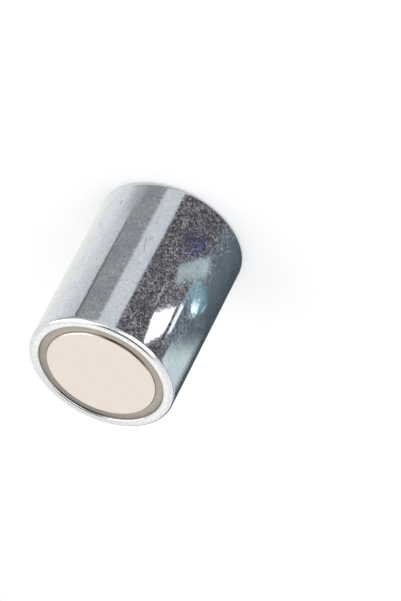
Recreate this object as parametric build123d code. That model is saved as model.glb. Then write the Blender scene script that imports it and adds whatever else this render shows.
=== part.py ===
from build123d import *

import os

# A deep pot magnet: a turned steel cup, a round magnet standing on the floor of
# its bore, and the non-magnetic resin cast into the gap between the two. The
# steel carries the magnet's flux up to the rim, so the magnet's face and the
# rim form one flat gripping face, and the resin keeps the two poles apart.
#
# Millimetres. The cup stands on its closed end: the origin is the centre of that
# end, and +Z runs along the axis to the gripping face.

# ---- driving dimensions -------------------------------------------------------

# the turned cup
POT_DIAMETER = 20.0
POT_HEIGHT = 25.0
POT_WALL = 1.4
POT_END = 10.0
CLOSED_END_ROUND = 0.6
RIM_OUTER_ROUND = 0.6
RIM_INNER_ROUND = 0.2
BORE_CORNER_ROUND = 0.3

# the cast ring, which shrinks a little below the gripping face
RING_WIDTH = 1.1
RING_RECESS = 0.4

# the magnet, barrel-tumbled before plating, so both its ends have soft edges
MAGNET_EDGE_ROUND = 0.25

# ---- sizes that follow from them ----------------------------------------------

pot_radius = POT_DIAMETER / 2
bore_radius = pot_radius - POT_WALL
bore_depth = POT_HEIGHT - POT_END
ring_length = bore_depth - RING_RECESS

# the magnet leaves the ring's width free all round, stands on the bore's floor
# and ends level with the rim
magnet_radius = bore_radius - RING_WIDTH
magnet_length = bore_depth

# two lengths closer than this are the same place on the part
SAME_PLACE = 1e-4

STANDING = (Align.CENTER, Align.CENTER, Align.MIN)


def round_edge(solid, radius, height, size):
    """Rounds the circular edge of this radius that lies at this height."""
    circles = solid.edges().filter_by(GeomType.CIRCLE)
    chosen = [
        edge
        for edge in circles
        if abs(edge.radius - radius) < SAME_PLACE
        and abs(edge.arc_center.Z - height) < SAME_PLACE
    ]
    return fillet(chosen, size)


def steel_pot():
    """The cup, turned from bar: one piece with a solid end and a flat-bottomed bore."""
    blank = Cylinder(pot_radius, POT_HEIGHT, align=STANDING)
    bore = Pos(0, 0, POT_END) * Cylinder(bore_radius, bore_depth, align=STANDING)
    bore = round_edge(bore, bore_radius, POT_END, BORE_CORNER_ROUND)
    cup = blank - bore
    cup = round_edge(cup, pot_radius, 0, CLOSED_END_ROUND)
    cup = round_edge(cup, pot_radius, POT_HEIGHT, RIM_OUTER_ROUND)
    return round_edge(cup, bore_radius, POT_HEIGHT, RIM_INNER_ROUND)


def magnet_core():
    """The magnet: a plain cylinder that fills the bore's depth."""
    core = Pos(0, 0, POT_END) * Cylinder(magnet_radius, magnet_length, align=STANDING)
    core = round_edge(core, magnet_radius, POT_END, MAGNET_EDGE_ROUND)
    return round_edge(core, magnet_radius, POT_HEIGHT, MAGNET_EDGE_ROUND)


def filler_ring():
    """The cast ring: it takes its shape from the bore around it and the magnet inside it."""
    outside = Pos(0, 0, POT_END) * Cylinder(bore_radius, ring_length, align=STANDING)
    outside = round_edge(outside, bore_radius, POT_END, BORE_CORNER_ROUND)
    inside = Pos(0, 0, POT_END) * Cylinder(magnet_radius, ring_length, align=STANDING)
    return outside - inside


PIECES = {
    "steel_pot": steel_pot,
    "magnet_core": magnet_core,
    "filler_ring": filler_ring,
}

os.makedirs("parts", exist_ok=True)
for node, make in PIECES.items():
    piece = make()
    export_step(piece, f"parts/{node}.step")
    print(f"{node}: {piece.volume:.1f} cubic mm")
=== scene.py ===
# %% [markdown]
# # A deep pot magnet
#
# The object is a steel cup the size of a thumb joint. A round magnet stands in its bore,
# and a ring of cast resin fills the gap between the two. All three are bodies of
# revolution, so the whole model is made on one idea: draw half of a piece's section, round
# its corners, and spin it about the axis. The rest of the lesson is about metal. Plated
# metal has almost no colour of its own and shows what stands around it, so the studio
# matters as much as the material.
#
# The sizes come from the frame, a plain solid model of the same part that is loaded first.

# %% Load the frame
import math

import bmesh
import bpy
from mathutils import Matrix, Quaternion, Vector


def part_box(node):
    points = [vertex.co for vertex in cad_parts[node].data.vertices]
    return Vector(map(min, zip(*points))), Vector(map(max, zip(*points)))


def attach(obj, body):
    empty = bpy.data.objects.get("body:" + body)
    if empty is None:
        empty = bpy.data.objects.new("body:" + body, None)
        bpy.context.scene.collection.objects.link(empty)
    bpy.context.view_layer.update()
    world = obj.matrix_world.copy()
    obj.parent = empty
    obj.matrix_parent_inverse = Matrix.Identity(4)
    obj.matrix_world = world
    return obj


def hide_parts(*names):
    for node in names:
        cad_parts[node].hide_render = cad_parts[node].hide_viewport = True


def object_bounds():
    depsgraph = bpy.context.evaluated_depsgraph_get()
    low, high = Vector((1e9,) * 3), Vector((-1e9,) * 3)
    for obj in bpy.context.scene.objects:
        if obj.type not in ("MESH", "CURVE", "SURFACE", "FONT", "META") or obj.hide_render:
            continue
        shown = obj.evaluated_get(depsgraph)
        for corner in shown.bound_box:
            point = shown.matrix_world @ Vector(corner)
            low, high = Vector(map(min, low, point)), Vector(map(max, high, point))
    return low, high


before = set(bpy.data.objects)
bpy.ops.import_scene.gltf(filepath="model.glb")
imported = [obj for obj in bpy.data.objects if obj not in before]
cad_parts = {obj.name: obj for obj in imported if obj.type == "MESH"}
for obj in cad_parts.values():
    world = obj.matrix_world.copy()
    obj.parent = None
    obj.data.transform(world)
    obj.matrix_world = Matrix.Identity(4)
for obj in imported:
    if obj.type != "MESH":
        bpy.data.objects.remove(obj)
frame_low, frame_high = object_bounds()
MM = 0.001
scene = bpy.context.scene
scene.view_settings.view_transform = "Standard"
print("frame in mm:", [round(side / MM, 2) for side in frame_high - frame_low])

# %% [markdown]
# ## The camera
#
# A long lens from half a metre away keeps the cylinder's two ends nearly the same size, as
# in a product shot. The camera looks down on the gripping face, and it is rolled about its
# own axis, so that the face is at the lower left of the picture and the body runs up to the
# right. A look-at rotation gives the direction, and a second turn about the view axis adds
# the roll: that is easier to read and to change than three Euler angles.

# %% Camera
CAMERA_PLACE = Vector((0.0, -422.8, 325.9)) * MM
CAMERA_AIM = Vector((-7.08, -2.65, 9.15)) * MM
CAMERA_ROLL = math.radians(-153.0)
CAMERA_LENS = 243.8

camera = bpy.data.objects.new("camera", bpy.data.cameras.new("camera"))
scene.collection.objects.link(camera)
scene.camera = camera
camera.data.lens = CAMERA_LENS
camera.location = CAMERA_PLACE
look = (CAMERA_AIM - CAMERA_PLACE).to_track_quat("-Z", "Y")
camera.rotation_mode = "QUATERNION"
camera.rotation_quaternion = look @ Quaternion((0, 0, 1), CAMERA_ROLL)
print("camera is", round((CAMERA_AIM - CAMERA_PLACE).length, 3), "m away")

# %% [markdown]
# ## Two helpers for materials
#
# Colours are written as sRGB hex values, as a paint card gives them, and one function turns
# them into the linear numbers that the renderer wants. Another adds a shader node, sets its
# sockets and links what is given as another node's output.

# %% Colour and node helpers


def linear(hex_colour):
    """An sRGB hex colour as linear red, green, blue and alpha."""
    values = [int(hex_colour[i : i + 2], 16) / 255 for i in (1, 3, 5)]
    return tuple(v / 12.92 if v <= 0.04045 else ((v + 0.055) / 1.055) ** 2.4 for v in values) + (1,)


def add(tree, kind, sockets=None, stops=(), **settings):
    """Adds a node: settings are set, sockets set or linked, and stops put on its colour ramp."""
    node = tree.nodes.new(kind)
    for name, value in settings.items():
        setattr(node, name, value)
    for key, value in (sockets or {}).items():
        if isinstance(value, bpy.types.Node):
            value = next(output for output in value.outputs if output.enabled)
        if isinstance(value, bpy.types.NodeSocket):
            tree.links.new(value, node.inputs[key])
        else:
            node.inputs[key].default_value = value
    for number, (position, hex_colour) in enumerate(stops):
        if number > 1:
            node.color_ramp.elements.new(1.0)
        node.color_ramp.elements[number].position = position
        node.color_ramp.elements[number].color = linear(hex_colour)
    return node


print("mid grey #808080 is linear", [round(value, 3) for value in linear("#808080")])

# %% [markdown]
# ## The studio
#
# The world is a light tent with cards in it. Its walls are white, and dark cards hang
# between them, because a bright metal cylinder with nothing dark to reflect looks like
# paper. Going round the part, each card shows as one straight band along its side. So each
# row of cards is a colour ramp over the compass angle round the part: one row stands below
# the level of the part and is what the side mirrors, and one stands above it and is what
# the rounded edges mirror.

# %% The cards round the part
# Compass angles in degrees: 0 is the camera's side, and they grow towards +X.
LOW_CARDS = [
    (-180, "#9A9FA1"),
    (-174, "#4C5459"),
    (-150, "#333E47"),
    (-128, "#3C4C56"),
    (-104, "#485C67"),
    (-72, "#4B5963"),
    (-60, "#38353B"),
    (11, "#38353B"),
    (13, "#D0D5D9"),
    (38, "#D0D5D9"),
    (42, "#8A8D90"),
    (74, "#8A8D90"),
    (76, "#5E6064"),
    (78, "#CACED2"),
    (112, "#EAECEF"),
    (148, "#F6F6F2"),
    (172, "#EDEEEB"),
    (180, "#9A9FA1"),
]
HIGH_CARDS = [
    (-180, "#FFFFFF"),
    (-100, "#FFFFFF"),
    (-60, "#C8CACD"),
    (-30, "#DCDDDE"),
    (38, "#E0E0E0"),
    (44, "#AEB1B5"),
    (92, "#AEB1B5"),
    (102, "#E8E8E8"),
    (180, "#FFFFFF"),
]

scene.world = bpy.data.worlds.new("light_tent")
scene.world.use_nodes = True
tent = scene.world.node_tree
tent.nodes.clear()
direction = add(tent, "ShaderNodeTexCoord").outputs["Generated"]
along = add(tent, "ShaderNodeSeparateXYZ", {"Vector": direction})
ahead = add(tent, "ShaderNodeMath", {0: along.outputs["Y"], 1: -1.0}, operation="MULTIPLY")
compass = add(tent, "ShaderNodeMath", {0: along.outputs["X"], 1: ahead}, operation="ARCTAN2")
full_turn = {"Value": compass, "From Min": -math.pi, "From Max": math.pi}
share = add(tent, "ShaderNodeMapRange", full_turn)
rows = []
for cards in (LOW_CARDS, HIGH_CARDS):
    stops = [((angle + 180) / 360, colour) for angle, colour in cards]
    rows.append(add(tent, "ShaderNodeValToRGB", {"Fac": share}, stops))
    print("a row of", len(cards), "card edges")

# %% Walls and what the lens sees
HORIZON = (-0.08, 0.04)
TENT_LIGHT = 1.04

above = {"Value": along.outputs["Z"], "From Min": HORIZON[0], "From Max": HORIZON[1]}
above = add(tent, "ShaderNodeMapRange", above)
walls = add(tent, "ShaderNodeMix", {0: above, 6: rows[0], 7: rows[1]}, data_type="RGBA")
lit = add(tent, "ShaderNodeBackground", {"Color": walls, "Strength": TENT_LIGHT})
white = add(tent, "ShaderNodeBackground", {"Color": linear("#FFFFFF"), "Strength": 1.0})
camera_ray = add(tent, "ShaderNodeLightPath").outputs["Is Camera Ray"]
seen = add(tent, "ShaderNodeMixShader", {0: camera_ray, 1: lit, 2: white})
add(tent, "ShaderNodeOutputWorld", {"Surface": seen})
print("the tent is made of", len(tent.nodes), "nodes")

# %% [markdown]
# ## Two softboxes
#
# Two softboxes light the part, a square one high on its right and a tall one to the left of
# the lens. They are what flashes on the rounded edges: the side is upright and mirrors only
# what is lower than the lens, so it never catches them.

# %% Softboxes
SOFTBOXES = (
    # compass angle and elevation, distance, width and height in metres, and radiance
    ("softbox_right", 88, 52, 0.30, 0.28, 0.28, 1.2),
    ("softbox_left", -32, 34, 0.30, 0.26, 0.44, 1.2),
)
middle = (frame_low + frame_high) / 2
for name, azimuth, elevation, distance, width, tall, radiance in SOFTBOXES:
    around, up = math.radians(azimuth), math.radians(elevation)
    towards = Vector((math.sin(around) * math.cos(up), -math.cos(around) * math.cos(up), math.sin(up)))
    lamp = bpy.data.lights.new(name, "AREA")
    lamp.shape = "RECTANGLE"
    lamp.size, lamp.size_y = width, tall
    lamp.energy = radiance * math.pi * width * tall
    box = bpy.data.objects.new(name, lamp)
    box.location = middle + towards * distance
    box.rotation_mode = "QUATERNION"
    box.rotation_quaternion = towards.to_track_quat("Z", "Y")
    scene.collection.objects.link(box)
    print(name, "gives", round(lamp.energy, 2), "W")

# %% [markdown]
# ## Small cards near the part
#
# A card far away shows as a band that runs the whole length of the side. A small card close
# by shows as a patch. Where to put it follows from the law of reflection: a line from the
# lens to a spot on the side goes on, mirrored, to the place where the card has to be. So
# each card is a grid whose corners are named by where they shall show on the side. A card
# that fades in over its whole width softens the edge of a band: haze and dusk do that from
# both sides of one. Only reflections see the cards.

# %% The list of small cards
CARD_DISTANCE = 50 * MM
CARD_COLUMNS, CARD_ROWS = 12, 4
NEAR_CARDS = (
    # Colour and strength, then the share of the card over which it fades in from its first
    # edge and from its far end. Then its corners, near and far, on the first and the second
    # edge: degrees round the side, and height in mm.
    ("wedge", "#FFFFFF", 2.4, 0.03, 0.03, (-13.8, 19.6), (-27.6, 16.6), (-17.8, 24.6), (-28.0, 21.1)),
    ("sliver", "#EAF5FF", 1.6, 0.08, 0.2, (-29.4, 15.0), (-33.0, 15.4), (-31.0, 20.8), (-33.6, 20.2)),
    ("sky", "#CFE2E4", 1.0, 0.2, 0.4, (-37.5, 19.5), (-76.0, 12.0), (-37.5, 45.0), (-76.0, 45.0)),
    ("teal", "#ABC2C4", 1.0, 0.5, 0.2, (-20.0, 14.4), (-44.0, 9.4), (-14.0, 11.2), (-37.0, 5.6)),
    ("pool", "#7FAEBC", 0.8, 0.6, 0.5, (-30.0, 16.0), (-54.0, 16.0), (-31.0, 10.5), (-56.0, 11.0)),
    ("glint", "#DDF4FF", 3.2, 0.1, 0.1, (-37.0, 13.6), (-44.0, 12.2), (-41.0, 15.3), (-48.0, 14.6)),
    ("spark", "#9CCBE0", 1.1, 0.4, 0.4, (-48.5, 13.2), (-53.0, 11.2), (-50.5, 13.8), (-54.0, 12.6)),
    ("outline", "#C4C8D2", 1.0, 0.3, 0.1, (-11.5, 14.2), (-12.2, 14.2), (-11.8, 18.8), (-12.6, 18.8)),
    ("slate", "#5A5A60", 1.0, 0.6, 0.03, (37.9, 4.0), (38.7, 4.0), (37.7, 25.5), (38.9, 25.5)),
    ("haze", "#AAADB1", 1.0, 0.7, 1.0, (38.0, 9.0), (33.0, 9.0), (38.0, -1.0), (32.0, -1.0)),
    ("dusk", "#AAADB1", 1.0, 0.7, 1.0, (38.0, 9.0), (50.0, 9.0), (38.0, -1.0), (52.0, -1.0)),
)


def mirrored(angle, height):
    """The point that the lens sees mirrored at this spot of the side."""
    around = math.radians(angle)
    outward = Vector((math.sin(around), -math.cos(around), 0))
    spot = outward * frame_high.x + Vector((0, 0, height * MM))
    return spot + (spot - CAMERA_PLACE).normalized().reflect(outward) * CARD_DISTANCE


half_way = mirrored(0, middle.z / MM)
print("half way up, the side mirrors what is at", [round(value / MM) for value in half_way], "mm")

# %% Cards by their reflection
for name, colour, strength, first_fade, far_fade, *corners in NEAR_CARDS:
    near_first, far_first, near_second, far_second = (Vector(corner) for corner in corners)
    grid = bmesh.new()
    grid.loops.layers.uv.new("UVMap")
    steps = {"x_segments": CARD_COLUMNS, "y_segments": CARD_ROWS}
    bmesh.ops.create_grid(grid, size=0.5, calc_uvs=True, **steps)
    for vert in grid.verts:
        # The grid runs from -0.5 to 0.5, so adding a half gives shares from 0 to 1.
        to_far, to_second = vert.co.x + 0.5, vert.co.y + 0.5
        first = near_first.lerp(far_first, to_far)
        vert.co = mirrored(*first.lerp(near_second.lerp(far_second, to_far), to_second))
    card = bpy.data.objects.new(name + "_card", bpy.data.meshes.new(name + "_card"))
    grid.to_mesh(card.data)
    grid.free()
    scene.collection.objects.link(card)
    card.visible_camera = False
    card.visible_diffuse = False
    card.visible_shadow = False
    foil = bpy.data.materials.new(name + "_card")
    foil.use_nodes = True
    gel = foil.node_tree
    gel.nodes.clear()
    spot = add(gel, "ShaderNodeSeparateXYZ", {"Vector": add(gel, "ShaderNodeTexCoord").outputs["UV"]})
    from_first = {"Value": spot.outputs["Y"], "From Max": first_fade}
    from_first = add(gel, "ShaderNodeMapRange", from_first, interpolation_type="SMOOTHSTEP")
    from_far = {"Value": spot.outputs["X"], "From Min": 1.0, "From Max": 1.0 - far_fade}
    from_far = add(gel, "ShaderNodeMapRange", from_far, interpolation_type="SMOOTHSTEP")
    solid = add(gel, "ShaderNodeMath", {0: from_first, 1: from_far}, operation="MULTIPLY")
    clear = add(gel, "ShaderNodeBsdfTransparent")
    glow = add(gel, "ShaderNodeEmission", {"Color": linear(colour), "Strength": strength})
    faded = add(gel, "ShaderNodeMixShader", {0: solid, 1: clear, 2: glow})
    add(gel, "ShaderNodeOutputMaterial", {"Surface": faded})
    card.data.materials.append(foil)
    print(card.name, "stands at", [round(value / MM) for value in card.data.vertices[0].co], "mm")

# %% [markdown]
# ## The floor
#
# A wide pale sheet carries the part's soft contact shadow. It gives off a little light of
# its own to the camera, so that it reads as white paper, and the metal doesn't mirror it:
# the tent's cards go on below the horizon, as on a glass table.

# %% Floor
FLOOR_HALF = 3.0
FLOOR_GLOW = 0.16

floor_mesh = bmesh.new()
bmesh.ops.create_grid(floor_mesh, x_segments=1, y_segments=1, size=FLOOR_HALF)
floor = bpy.data.objects.new("floor", bpy.data.meshes.new("floor"))
floor_mesh.to_mesh(floor.data)
floor_mesh.free()
scene.collection.objects.link(floor)
floor.location.z = frame_low.z
floor.visible_glossy = False

paper = bpy.data.materials.new("white_paper_floor")
paper.use_nodes = True
sheet = paper.node_tree
sheet.nodes.clear()
matt = add(sheet, "ShaderNodeBsdfDiffuse", {"Color": linear("#E6E6E6")})
glow = add(sheet, "ShaderNodeEmission", {"Color": linear("#FFFFFF"), "Strength": FLOOR_GLOW})
both = add(sheet, "ShaderNodeAddShader", {0: matt, 1: glow})
floor_camera_ray = add(sheet, "ShaderNodeLightPath").outputs["Is Camera Ray"]
shown = add(sheet, "ShaderNodeMixShader", {0: floor_camera_ray, 1: matt, 2: both})
add(sheet, "ShaderNodeOutputMaterial", {"Surface": shown})
floor.data.materials.append(paper)
print("the floor is", 2 * FLOOR_HALF, "m wide")

# %% [markdown]
# ## Turning a piece
#
# Each real piece was turned on a lathe, pressed or cast round, so it is made the same way
# here: the corners of its half-section are joined by edges, a vertex bevel rounds each
# corner with a true arc, and a full spin closes the form. The spin leaves the points on the
# axis many times over, so doubles are merged before the normals are made to face outwards.

# %% The lathe
ROUND_STEPS = 8
SPIN_STEPS = 256
MERGE = 1e-4 * MM
SHARP = math.radians(40)


def turn(name, corners, closed=False):
    """Spins a half-section. corners are (radius, height, round) in metres, from one end to the other."""
    form = bmesh.new()
    points = [form.verts.new((radius, 0, height)) for radius, height, _ in corners]
    for start, end in zip(points, points[1:]):
        form.edges.new((start, end))
    if closed:
        form.edges.new((points[-1], points[0]))
    for point, (_, _, size) in zip(points, corners):
        if size:
            bmesh.ops.bevel(
                form, geom=[point], offset=size, segments=ROUND_STEPS, profile=0.5,
                affect="VERTICES", material=-1,
            )
    bmesh.ops.spin(
        form, geom=form.verts[:] + form.edges[:], cent=(0, 0, 0), axis=(0, 0, 1),
        angle=math.tau, steps=SPIN_STEPS, use_merge=True,
    )
    bmesh.ops.remove_doubles(form, verts=form.verts[:], dist=MERGE)
    bmesh.ops.recalc_face_normals(form, faces=form.faces[:])
    for face in form.faces:
        face.smooth = True
    for edge in form.edges:
        edge.smooth = edge.calc_face_angle() < SHARP
    piece = bpy.data.objects.new(name, bpy.data.meshes.new(name))
    form.to_mesh(piece.data)
    print(name, len(form.faces), "faces, closed:", all(edge.is_manifold for edge in form.edges))
    form.free()
    scene.collection.objects.link(piece)
    keep_flats = piece.modifiers.new("keep_flats_flat", "WEIGHTED_NORMAL")
    keep_flats.keep_sharp = True
    return piece


print("one step of the spin is", round(360 / SPIN_STEPS, 2), "degrees")

# %% [markdown]
# The cup's rim keeps a flat land between two rounds, and its closed end has the centre mark
# of the lathe. The magnet's edges are tumbled round, and the resin climbed both walls a
# little while it set. The large sizes are read from the frame, so that each piece fills the
# space of its solid. Only what a box can't tell, such as the rounds, is written here.

# %% Sizes from the frame
_, pot_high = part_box("steel_pot")
magnet_low, magnet_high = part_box("magnet_core")
_, ring_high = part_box("filler_ring")
POT_RADIUS, RIM_HEIGHT = pot_high.x, pot_high.z
BORE_RADIUS, RING_HEIGHT = ring_high.x, ring_high.z
MAGNET_RADIUS, BORE_FLOOR = magnet_high.x, magnet_low.z
RIM_OUTER_ROUND = CLOSED_END_ROUND = 0.6 * MM
RIM_INNER_ROUND = 0.2 * MM
BORE_CORNER_ROUND = 0.3 * MM
MAGNET_EDGE_ROUND = 0.25 * MM
# The resin crept up both walls, so high and from so far out.
CREEP_OUTSIDE, CREEP_INSIDE = 0.1 * MM, 0.14 * MM
REACH_OUTSIDE, REACH_INSIDE = 0.3 * MM, 0.4 * MM
CREEP_ROUND = 0.2 * MM
PIP_RADIUS, PIP_DEPTH = 0.5 * MM, 0.25 * MM
PIP_EDGE_ROUND = 0.05 * MM
print("bore radius in mm:", round(BORE_RADIUS / MM, 2))

# %% The three pieces
pot = turn(
    "pot_shell",
    [
        (0, PIP_DEPTH, 0),
        (PIP_RADIUS, 0, PIP_EDGE_ROUND),
        (POT_RADIUS, 0, CLOSED_END_ROUND),
        (POT_RADIUS, RIM_HEIGHT, RIM_OUTER_ROUND),
        (BORE_RADIUS, RIM_HEIGHT, RIM_INNER_ROUND),
        (BORE_RADIUS, BORE_FLOOR, BORE_CORNER_ROUND),
        (0, BORE_FLOOR, 0),
    ],
)
magnet = turn(
    "plated_magnet",
    [
        (0, BORE_FLOOR, 0),
        (MAGNET_RADIUS, BORE_FLOOR, MAGNET_EDGE_ROUND),
        (MAGNET_RADIUS, RIM_HEIGHT, MAGNET_EDGE_ROUND),
        (0, RIM_HEIGHT, 0),
    ],
)
ring = turn(
    "resin_ring",
    [
        (MAGNET_RADIUS, BORE_FLOOR, 0),
        (BORE_RADIUS, BORE_FLOOR, BORE_CORNER_ROUND),
        (BORE_RADIUS, RING_HEIGHT + CREEP_OUTSIDE, 0),
        (BORE_RADIUS - REACH_OUTSIDE, RING_HEIGHT, CREEP_ROUND),
        (MAGNET_RADIUS + REACH_INSIDE, RING_HEIGHT, CREEP_ROUND),
        (MAGNET_RADIUS, RING_HEIGHT + CREEP_INSIDE, 0),
    ],
    closed=True,
)

# %% [markdown]
# ## The zinc on the side
#
# The cup is bright zinc plated steel. Such a skin is a mirror with a faint blue cast, and
# where the zinc grew coarser, short curled strands of it stay matt. A matt strand shows the
# same pale grey everywhere, so it is seen against a dark reflection and lost against a light
# one. Mixing some non-metal into the metal gives just that, so the strands drive Metallic.
# Bright and dark strands painted into the colour would look the same in every reflection.

# %% Start a finish
BLACK, WHITE = "#000000", "#FFFFFF"


def start_finish(name):
    """A new material, its nodes, its shader, and the place on the piece in millimetres."""
    finish = bpy.data.materials.new(name)
    finish.use_nodes = True
    tree = finish.node_tree
    metres = add(tree, "ShaderNodeTexCoord").outputs["Object"]
    place = add(tree, "ShaderNodeVectorMath", {0: metres, "Scale": 1 / MM}, operation="SCALE")
    return finish, tree, tree.nodes["Principled BSDF"], place


bright_zinc, zinc, zinc_shader, place = start_finish("bright_zinc_plating")
print("started", bright_zinc.name)

# %% Matt strands
# Real strands are about 0.05 mm wide. They are drawn three times as wide, to show at all.
STRAND_SPACING = 0.34
GAP_SPACING = 0.5
PATCH_SPACING = 2.6
COARSE_SIDE = (-0.1, -0.995, 0)

strands = {"Vector": place, "Scale": 1 / STRAND_SPACING, "Detail": 2.0, "Distortion": 1.2}
strands = add(zinc, "ShaderNodeTexNoise", strands)
strands = add(zinc, "ShaderNodeValToRGB", {"Fac": strands}, [(0.455, BLACK), (0.5, WHITE), (0.545, BLACK)])
gaps = add(zinc, "ShaderNodeTexNoise", {"Vector": place, "Scale": 1 / GAP_SPACING, "Detail": 3.0})
gaps = add(zinc, "ShaderNodeMapRange", {"Value": gaps, "From Min": 0.34, "From Max": 0.5})
coarseness = add(zinc, "ShaderNodeVectorMath", {0: place, 1: COARSE_SIDE}, operation="DOT_PRODUCT")
coarseness = {"Value": coarseness, "From Min": 7.2, "From Max": 9.6, "To Min": 0.36, "To Max": 1.0}
coarseness = add(zinc, "ShaderNodeMapRange", coarseness)
matt = add(zinc, "ShaderNodeMath", {0: strands, 1: gaps}, operation="MULTIPLY")
matt = add(zinc, "ShaderNodeMath", {0: matt, 1: coarseness}, operation="MULTIPLY")
patches = add(zinc, "ShaderNodeTexNoise", {"Vector": place, "Scale": 1 / PATCH_SPACING, "Detail": 2.0})
patches = {"Value": patches, "From Min": 0.35, "From Max": 0.62, "To Min": 0.55, "To Max": 1.0}
patches = add(zinc, "ShaderNodeMapRange", patches)
matt = add(zinc, "ShaderNodeMath", {0: matt, 1: patches}, operation="MULTIPLY")
metal_share = add(zinc, "ShaderNodeMapRange", {"Value": matt, "To Min": 0.96, "To Max": 0.1})
zinc.links.new(metal_share.outputs["Result"], zinc_shader.inputs["Metallic"])
roughness = add(zinc, "ShaderNodeMapRange", {"Value": matt, "To Min": 0.06, "To Max": 0.2})
zinc.links.new(roughness.outputs["Result"], zinc_shader.inputs["Roughness"])
print("strands every", STRAND_SPACING, "mm, in patches", PATCH_SPACING, "mm apart")

# %% [markdown]
# A thin clear film over the zinc tints it. The film is uneven, so two pale greys are mixed in
# clouds a millimetre or two across, with a finer grain in them. Where the zinc is coarse the
# film wavers between violet and tan, and in one place there it blooms deep violet. It lies
# thickest on the matt strands, so both tints are strongest there.

# %% Clouds and grain of the film
CLOUD_SIZE = 1.6
GRAIN_SIZE = 0.28

clouds = add(zinc, "ShaderNodeTexNoise", {"Vector": place, "Scale": 1 / CLOUD_SIZE, "Detail": 3.0})
clouds = add(zinc, "ShaderNodeMapRange", {"Value": clouds, "From Min": 0.35, "From Max": 0.65})
film = {0: clouds, 6: linear("#DFE2E8"), 7: linear("#EAEBEB")}
film = add(zinc, "ShaderNodeMix", film, data_type="RGBA")
grain = add(zinc, "ShaderNodeTexNoise", {"Vector": place, "Scale": 1 / GRAIN_SIZE, "Detail": 3.0})
grain = {"Value": grain, "From Min": 0.45, "From Max": 0.75, "To Max": 0.8}
grain = add(zinc, "ShaderNodeMapRange", grain)
film = {0: grain, 6: film.outputs[2], 7: linear("#CACDD2")}
film = add(zinc, "ShaderNodeMix", film, data_type="RGBA")
print("clouds", CLOUD_SIZE, "mm across, with a grain of", GRAIN_SIZE, "mm")

# %% Tints of the film
TINTED_SIDE = (-0.208, -0.978, 0)
TINT_SIZE = 1.1
BLOOM_SPOT = (-3.3, -9.4, 6.8)
BLOOM_RAGS = 0.8

wavering = add(zinc, "ShaderNodeTexNoise", {"Vector": place, "Scale": 1 / TINT_SIZE, "Detail": 2.0})
wavering = add(zinc, "ShaderNodeMapRange", {"Value": wavering, "From Min": 0.4, "From Max": 0.6})
tint = {0: wavering, 6: linear("#ABA2D2"), 7: linear("#DDD0BC")}
tint = add(zinc, "ShaderNodeMix", tint, data_type="RGBA")
tinted = add(zinc, "ShaderNodeVectorMath", {0: place, 1: TINTED_SIDE}, operation="DOT_PRODUCT")
tinted = {"Value": tinted, "From Min": 9.3, "From Max": 9.7, "To Max": 0.5}
tinted = add(zinc, "ShaderNodeMapRange", tinted)
thickness = add(zinc, "ShaderNodeMapRange", {"Value": matt, "From Max": 0.8, "To Min": 0.2})
tinted = add(zinc, "ShaderNodeMath", {0: tinted, 1: thickness}, operation="MULTIPLY")
film = {0: tinted, 6: film.outputs[2], 7: tint.outputs[2]}
film = add(zinc, "ShaderNodeMix", film, data_type="RGBA")
ragged = add(zinc, "ShaderNodeTexNoise", {"Vector": place, "Scale": 1 / BLOOM_RAGS, "Detail": 4.0})
ragged = add(zinc, "ShaderNodeMapRange", {"Value": ragged, "From Min": 0.3, "From Max": 0.7, "To Max": 3.0})
from_bloom = add(zinc, "ShaderNodeVectorMath", {0: place, 1: BLOOM_SPOT}, operation="DISTANCE")
from_bloom = add(zinc, "ShaderNodeMath", {0: from_bloom, 1: ragged}, operation="ADD")
bloom = {"Value": from_bloom, "From Min": 4.2, "From Max": 2.6, "To Max": 0.9}
bloom = add(zinc, "ShaderNodeMapRange", bloom)
bloom = add(zinc, "ShaderNodeMath", {0: bloom, 1: thickness}, operation="MULTIPLY")
film = {0: bloom, 6: film.outputs[2], 7: linear("#7F7CD8")}
film = add(zinc, "ShaderNodeMix", film, data_type="RGBA")
print("bloom at", BLOOM_SPOT, "mm")

# %% [markdown]
# Handling leaves a few hair scratches. Each is a slim ellipse laid on the unrolled side: a
# Mapping node of type Texture carries the scratch to the middle and stretches it to a unit
# circle, so the length of the vector is below one inside it.

# %% Scratches on the unrolled side
SCRATCHES = (
    # where round the side in degrees, height, length and width in mm, and tilt in degrees
    (15, 10.6, 3.3, 0.16, 105),
    (13, 9.4, 1.4, 0.14, 60),
    (52, 3.6, 1.1, 0.3, 90),
    (64, 7.0, 1.2, 0.14, 120),
    (31, 20.0, 1.6, 0.12, 80),
    (128, 14.0, 3.6, 0.12, 78),
    (-122, 17.5, 2.8, 0.12, 97),
    (-168, 8.0, 4.2, 0.12, 84),
)
# The outline of a scratch is at 1, so this is outside them all.
FAR_OFF = 9.0

apart = add(zinc, "ShaderNodeSeparateXYZ", {"Vector": place})
towards_lens = add(zinc, "ShaderNodeMath", {0: apart.outputs["Y"], 1: -1.0}, operation="MULTIPLY")
angle = add(zinc, "ShaderNodeMath", {0: apart.outputs["X"], 1: towards_lens}, operation="ARCTAN2")
arc = add(zinc, "ShaderNodeMath", {0: angle, 1: POT_RADIUS / MM}, operation="MULTIPLY")
unrolled = add(zinc, "ShaderNodeCombineXYZ", {"X": arc, "Y": apart.outputs["Z"]})
nearest = FAR_OFF
for around, height, length, width, tilt in SCRATCHES:
    laid = {
        "Vector": unrolled,
        "Location": (math.radians(around) * POT_RADIUS / MM, height, 0),
        "Rotation": (0, 0, math.radians(tilt)),
        "Scale": (length / 2, width / 2, 1),
    }
    laid = add(zinc, "ShaderNodeMapping", laid, vector_type="TEXTURE")
    laid = add(zinc, "ShaderNodeVectorMath", {0: laid}, operation="LENGTH")
    nearest = add(zinc, "ShaderNodeMath", {0: laid, 1: nearest}, operation="MINIMUM")
scratched = {"Value": nearest, "From Min": 1.1, "From Max": 0.6, "To Max": 0.55}
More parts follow.
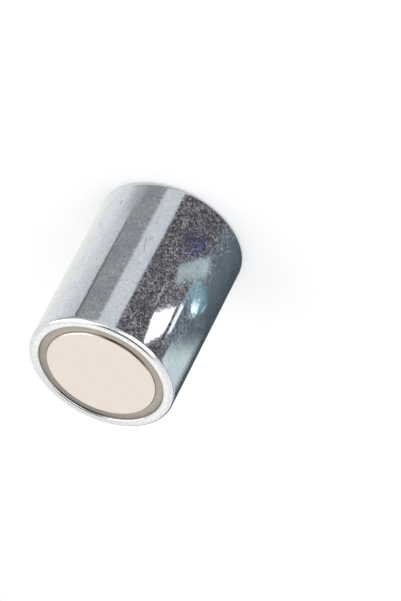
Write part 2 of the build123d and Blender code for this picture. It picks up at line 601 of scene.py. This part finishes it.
scratched = add(zinc, "ShaderNodeMapRange", scratched)
print(len(SCRATCHES), "scratches")

# %% Pits
# A few pits show as dark specks. They are the middles of Voronoi cells, and a slow noise
# keeps only some of them.
PIT_SPACING = 1.5
PIT_PATCHES = 3.0

pits = add(zinc, "ShaderNodeTexVoronoi", {"Vector": place, "Scale": 1 / PIT_SPACING})
pits = {"Value": pits.outputs["Distance"], "From Min": 0.1, "From Max": 0.05}
pits = add(zinc, "ShaderNodeMapRange", pits)
some = add(zinc, "ShaderNodeTexNoise", {"Vector": place, "Scale": 1 / PIT_PATCHES})
some = add(zinc, "ShaderNodeMapRange", {"Value": some, "From Min": 0.52, "From Max": 0.6, "To Max": 0.5})
pits = add(zinc, "ShaderNodeMath", {0: pits, 1: some}, operation="MULTIPLY")
marks = add(zinc, "ShaderNodeMath", {0: scratched, 1: pits}, operation="MAXIMUM")
# Real scratches and pits here; the painted reflection lines are mixed in below.
worn_and_painted_lines = {0: marks, 6: film.outputs[2], 7: linear("#85878D")}
worn_and_painted_lines = add(zinc, "ShaderNodeMix", worn_and_painted_lines, data_type="RGBA")
print("pits at most every", PIT_SPACING, "mm")

# %% [markdown]
# Dark hairlines are painted at both edges of the rim's land, as painted reflections of dark
# gaps in the studio that the edges mirror. They run over part of the way round: on one side
# at the outer edge, and across from it at the edge of the bore and on the bore's wall.

# %% Painted dark reflections at the rim
PAINTED_REFLECTION_LINES = (
    # radius and half width in mm, and the side it is on
    (9.59, 0.1, (-0.09, -0.99, 0)),
    (8.74, 0.07, (0.07, 0.99, 0)),
    (8.6, 0.03, (0.07, 0.99, 0)),
)

# Without its height, a place gives its distance from the axis and its side.
across = add(zinc, "ShaderNodeVectorMath", {0: place, 1: (1, 1, 0)}, operation="MULTIPLY")
radius = add(zinc, "ShaderNodeVectorMath", {0: across}, operation="LENGTH")
heading = add(zinc, "ShaderNodeVectorMath", {0: across}, operation="NORMALIZE")
at_rim = {0: apart.outputs["Z"], 1: RIM_HEIGHT / MM / 2}
at_rim = add(zinc, "ShaderNodeMath", at_rim, operation="GREATER_THAN")
# Painted reflection: each hairline is painted dark over part of the way round.
for reflection_radius, half_width, reflection_side in PAINTED_REFLECTION_LINES:
    line = {0: radius, 1: reflection_radius, 2: half_width}
    line = add(zinc, "ShaderNodeMath", line, operation="COMPARE")
    there = add(zinc, "ShaderNodeVectorMath", {0: heading, 1: reflection_side}, operation="DOT_PRODUCT")
    there = {"Value": there, "From Min": 0.86, "From Max": 0.94, "To Max": 0.9}
    there = add(zinc, "ShaderNodeMapRange", there)
    line = add(zinc, "ShaderNodeMath", {0: line, 1: there}, operation="MULTIPLY")
    line = add(zinc, "ShaderNodeMath", {0: line, 1: at_rim}, operation="MULTIPLY")
    worn_and_painted_lines = {0: line, 6: worn_and_painted_lines.outputs[2], 7: linear("#3C3B3E")}
    worn_and_painted_lines = add(zinc, "ShaderNodeMix", worn_and_painted_lines, data_type="RGBA")
zinc.links.new(worn_and_painted_lines.outputs[2], zinc_shader.inputs["Base Color"])
print(len(PAINTED_REFLECTION_LINES), "hairlines")

# %% [markdown]
# The steel under the zinc is a little wavy, which bends the edges of the reflections. A bump
# of a few thousandths of a millimetre is enough, because a mirror doubles every tilt. A finer
# one on top of it breaks them up a little.

# %% Waviness
WAVE_LENGTH, WAVE_HEIGHT = 1.8, 0.008
BUMP_LENGTH, BUMP_HEIGHT = 0.3, 0.0015

waves = add(zinc, "ShaderNodeTexNoise", {"Vector": place, "Scale": 1 / WAVE_LENGTH, "Detail": 1.0})
waves = add(zinc, "ShaderNodeBump", {"Height": waves, "Distance": WAVE_HEIGHT * MM})
bumps = add(zinc, "ShaderNodeTexNoise", {"Vector": place, "Scale": 1 / BUMP_LENGTH})
bumps = {"Height": bumps, "Distance": BUMP_HEIGHT * MM, "Normal": waves}
bumps = add(zinc, "ShaderNodeBump", bumps)
zinc.links.new(bumps.outputs["Normal"], zinc_shader.inputs["Normal"])
print("zinc has", len(zinc.nodes), "nodes")

# %% [markdown]
# ## The zinc on the turned ends
#
# The rim was faced on a lathe before plating, and the tool's rings show through the zinc.
# They depend on the distance from the axis alone, so a noise is read along one line. On one
# side the rim's colour is painted a little greyer, as painted shade.

# %% Turned rim
RIM_SHADE_SIDE = (0.14, 0.99, 0)
RING_SPACING = 0.2
FLECK_SIZE = 0.5
RIDGE_HEIGHT = 0.004

turned_rim, rim, rim_shader, place = start_finish("zinc_over_turning_marks")
across = add(rim, "ShaderNodeVectorMath", {0: place, 1: (1, 1, 0)}, operation="MULTIPLY")
radius = add(rim, "ShaderNodeVectorMath", {0: across}, operation="LENGTH")
rings = add(rim, "ShaderNodeCombineXYZ", {"X": radius})
rings = add(rim, "ShaderNodeTexNoise", {"Vector": rings, "Scale": 1 / RING_SPACING, "Detail": 3.0})
flecks = add(rim, "ShaderNodeTexNoise", {"Vector": place, "Scale": 1 / FLECK_SIZE, "Detail": 4.0})
tone = add(rim, "ShaderNodeMath", {0: rings, 1: flecks}, operation="ADD")
tone = add(rim, "ShaderNodeMapRange", {"Value": tone, "From Min": 0.75, "From Max": 1.2})
colour = {0: tone, 6: linear("#DEDFDE"), 7: linear("#F7F7F3")}
colour = add(rim, "ShaderNodeMix", colour, data_type="RGBA")
# Painted shade: the rim land is greyer towards one side.
rim_side_shade = add(rim, "ShaderNodeVectorMath", {0: across}, operation="NORMALIZE")
rim_side_shade = add(rim, "ShaderNodeVectorMath", {0: rim_side_shade, 1: RIM_SHADE_SIDE}, operation="DOT_PRODUCT")
rim_side_shade = {"Value": rim_side_shade, "From Min": 0.2, "From Max": 1.0, "To Max": 0.6}
rim_side_shade = add(rim, "ShaderNodeMapRange", rim_side_shade)
colour = {0: rim_side_shade, 6: colour.outputs[2], 7: linear("#C9C8C5")}
colour = add(rim, "ShaderNodeMix", colour, data_type="RGBA")
rim.links.new(colour.outputs[2], rim_shader.inputs["Base Color"])
rim_shader.inputs["Metallic"].default_value = 0.9
gloss = add(rim, "ShaderNodeMapRange", {"Value": rings, "To Min": 0.18, "To Max": 0.36})
rim.links.new(gloss.outputs["Result"], rim_shader.inputs["Roughness"])
ridges = add(rim, "ShaderNodeBump", {"Height": rings, "Distance": RIDGE_HEIGHT * MM})
rim.links.new(ridges.outputs["Normal"], rim_shader.inputs["Normal"])
print("rim has", len(rim.nodes), "nodes")

# %% [markdown]
# The closed end was faced as well, with a finer feed. So fine a spiral works as a grating of
# rings: it spreads light outwards from the axis and gives the bow-tie sheen of a turned
# face. That is anisotropy, with its direction running round the axis: the cross product of
# the axis and the place.

# %% Turned closed end
MOTTLE_SIZE = 1.2

turned_end, end, end_shader, place = start_finish("zinc_over_fine_turning")
end_shader.inputs["Metallic"].default_value = 0.92
end_shader.inputs["Roughness"].default_value = 0.34
end_shader.inputs["Anisotropic"].default_value = 0.6
round_axis = {0: (0, 0, 1), 1: place}
round_axis = add(end, "ShaderNodeVectorMath", round_axis, operation="CROSS_PRODUCT")
round_axis = add(end, "ShaderNodeVectorMath", {0: round_axis}, operation="NORMALIZE")
end.links.new(round_axis.outputs["Vector"], end_shader.inputs["Tangent"])
mottle = add(end, "ShaderNodeTexNoise", {"Vector": place, "Scale": 1 / MOTTLE_SIZE, "Detail": 5.0})
mottle = add(end, "ShaderNodeMapRange", {"Value": mottle, "From Min": 0.3, "From Max": 0.7})
colour = {0: mottle, 6: linear("#D5D8DC"), 7: linear("#E2E4E6")}
colour = add(end, "ShaderNodeMix", colour, data_type="RGBA")
end.links.new(colour.outputs[2], end_shader.inputs["Base Color"])
print("closed end has", len(end.nodes), "nodes")

# %% [markdown]
# ## Nickel on the magnet
#
# A sintered magnet is nickel plated against rust. Its face is satin and warm, nearly
# without marks, and its tumbled edge is smoother and flashes. On one side the edge is
# painted dark brown, as a painted reflection of dark surroundings.

# %% Nickel
NICKEL_CLOUDS = 1.1
EDGE_BLEND = (0.06, 0.14)

satin_nickel, nickel, nickel_shader, place = start_finish("satin_nickel_plating")
nickel_shader.inputs["Metallic"].default_value = 1.0
across = add(nickel, "ShaderNodeVectorMath", {0: place, 1: (1, 1, 0)}, operation="MULTIPLY")
radius = add(nickel, "ShaderNodeVectorMath", {0: across}, operation="LENGTH")
edge_start = (MAGNET_RADIUS - MAGNET_EDGE_ROUND) / MM
at_edge = {"Value": radius, "From Min": edge_start + EDGE_BLEND[0], "From Max": edge_start + EDGE_BLEND[1]}
at_edge = add(nickel, "ShaderNodeMapRange", at_edge)
smooth_edge = add(nickel, "ShaderNodeMapRange", {"Value": at_edge, "To Min": 0.32, "To Max": 0.12})
nickel.links.new(smooth_edge.outputs["Result"], nickel_shader.inputs["Roughness"])
clouds = add(nickel, "ShaderNodeTexNoise", {"Vector": place, "Scale": 1 / NICKEL_CLOUDS, "Detail": 4.0})
clouds = add(nickel, "ShaderNodeMapRange", {"Value": clouds, "From Min": 0.3, "From Max": 0.7})
plate = {0: clouds, 6: linear("#E7DBD1"), 7: linear("#EADFD6")}
plate = add(nickel, "ShaderNodeMix", plate, data_type="RGBA")
print("the tumbled edge starts at", round(edge_start, 2), "mm")

# %% Painted dark reflection on the nickel's edge
DARK_EDGE_SIDE = (-0.17, -0.985, 0)
DARK_EDGE_BLEND = 0.05
GRIT_SIZE, GRIT_HEIGHT = 0.3, 0.001

# Painted reflection: the tumbled edge is painted dark brown on one side.
side = add(nickel, "ShaderNodeVectorMath", {0: across}, operation="NORMALIZE")
side = add(nickel, "ShaderNodeVectorMath", {0: side, 1: DARK_EDGE_SIDE}, operation="DOT_PRODUCT")
side = add(nickel, "ShaderNodeMapRange", {"Value": side, "From Min": 0.8, "From Max": 0.96})
painted_dark_edge = add(nickel, "ShaderNodeMath", {0: side, 1: at_edge}, operation="MULTIPLY")
level = add(nickel, "ShaderNodeSeparateXYZ", {"Vector": place}).outputs["Z"]
on_round = (RIM_HEIGHT - MAGNET_EDGE_ROUND) / MM
on_round = {"Value": level, "From Min": on_round - DARK_EDGE_BLEND, "From Max": on_round + DARK_EDGE_BLEND}
on_round = add(nickel, "ShaderNodeMapRange", on_round)
painted_dark_edge = add(nickel, "ShaderNodeMath", {0: painted_dark_edge, 1: on_round}, operation="MULTIPLY")
plate = {0: painted_dark_edge, 6: plate.outputs[2], 7: linear("#54463D")}
plate = add(nickel, "ShaderNodeMix", plate, data_type="RGBA")
nickel.links.new(plate.outputs[2], nickel_shader.inputs["Base Color"])
grit = add(nickel, "ShaderNodeTexNoise", {"Vector": place, "Scale": 1 / GRIT_SIZE})
grit = add(nickel, "ShaderNodeBump", {"Height": grit, "Distance": GRIT_HEIGHT * MM})
nickel.links.new(grit.outputs["Normal"], nickel_shader.inputs["Normal"])
print("nickel has", len(nickel.nodes), "nodes")

# %% [markdown]
# ## The resin ring
#
# The filler is a grey-brown casting resin with metal powder in it, which gives it a dull
# metallic sheen. It shrank a little below the rim when it set. Painted shade darkens it in
# the two corners where it meets the walls, as a dark hairline, and over one side.

# %% Resin
RESIN_CLOUDS = 1.6
RING_SHADE_SIDE = (0.2, 0.98, 0)
SAG_LENGTH, SAG_HEIGHT = 1.0, 0.01

filled_resin, resin, resin_shader, place = start_finish("metal_filled_resin")
resin_shader.inputs["Metallic"].default_value = 0.35
resin_shader.inputs["Roughness"].default_value = 0.3
across = add(resin, "ShaderNodeVectorMath", {0: place, 1: (1, 1, 0)}, operation="MULTIPLY")
radius = add(resin, "ShaderNodeVectorMath", {0: across}, operation="LENGTH")
from_magnet = {"Value": radius, "From Min": MAGNET_RADIUS / MM, "From Max": BORE_RADIUS / MM}
from_magnet = add(resin, "ShaderNodeMapRange", from_magnet)
# Painted shade: darker next to the magnet and next to the bore wall.
ring_tone_and_corner_shade = [(0.0, "#5B534B"), (0.12, "#A69E91"), (0.8, "#9B9387"), (1.0, "#4A4540")]
colour = add(resin, "ShaderNodeValToRGB", {"Fac": from_magnet}, ring_tone_and_corner_shade)
clouds = add(resin, "ShaderNodeTexNoise", {"Vector": place, "Scale": 1 / RESIN_CLOUDS, "Detail": 3.0})
clouds = {"Value": clouds, "From Min": 0.35, "From Max": 0.65, "To Max": 0.25}
clouds = add(resin, "ShaderNodeMapRange", clouds)
colour = {0: clouds, 6: colour, 7: linear("#BDB3A8")}
colour = add(resin, "ShaderNodeMix", colour, data_type="RGBA")
# Painted shade: the ring is darker towards one side.
heading = add(resin, "ShaderNodeVectorMath", {0: across}, operation="NORMALIZE")
ring_side_shade = add(resin, "ShaderNodeVectorMath", {0: heading, 1: RING_SHADE_SIDE}, operation="DOT_PRODUCT")
ring_side_shade = {"Value": ring_side_shade, "From Min": -0.1, "From Max": 0.9, "To Max": 0.55}
ring_side_shade = add(resin, "ShaderNodeMapRange", ring_side_shade)
colour = {0: ring_side_shade, 6: colour.outputs[2], 7: linear("#7B746D")}
colour = add(resin, "ShaderNodeMix", colour, data_type="RGBA")
resin.links.new(colour.outputs[2], resin_shader.inputs["Base Color"])
sag = add(resin, "ShaderNodeTexNoise", {"Vector": place, "Scale": 1 / SAG_LENGTH})
sag = add(resin, "ShaderNodeBump", {"Height": sag, "Distance": SAG_HEIGHT * MM})
resin.links.new(sag.outputs["Normal"], resin_shader.inputs["Normal"])
print("resin has", len(resin.nodes), "nodes")

# %% [markdown]
# ## Finishes onto the pieces
#
# The pot has three finishes, one for its side and one for each end. The flat faces of the
# two ends are found by where they face: straight up or straight down.

# %% Put the finishes on
STRAIGHT = 0.999

for finish in (bright_zinc, turned_rim, turned_end):
    pot.data.materials.append(finish)
for face in pot.data.polygons:
    if face.normal.z > STRAIGHT:
        face.material_index = 1
    elif face.normal.z < -STRAIGHT:
        face.material_index = 2
magnet.data.materials.append(satin_nickel)
ring.data.materials.append(filled_resin)
flats = [face for face in pot.data.polygons if face.material_index]
print(len(flats), "of the pot's", len(pot.data.polygons), "faces are turned flats")

# %% [markdown]
# ## Tying the model to the frame
#
# Each piece rides on the body that it belongs to, stands for one solid of the plain model and
# takes its place there. Nothing moves, so there is one body, the root.

# %% Tie the pieces to the frame
for piece, node, slot in (
    (pot, "steel_pot", "zinc_plated_steel"),
    (magnet, "magnet_core", "nickel_plated_magnet"),
    (ring, "filler_ring", "cast_resin"),
):
    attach(piece, "root")
    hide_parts(node)
    print(piece.name, "stands for", node)
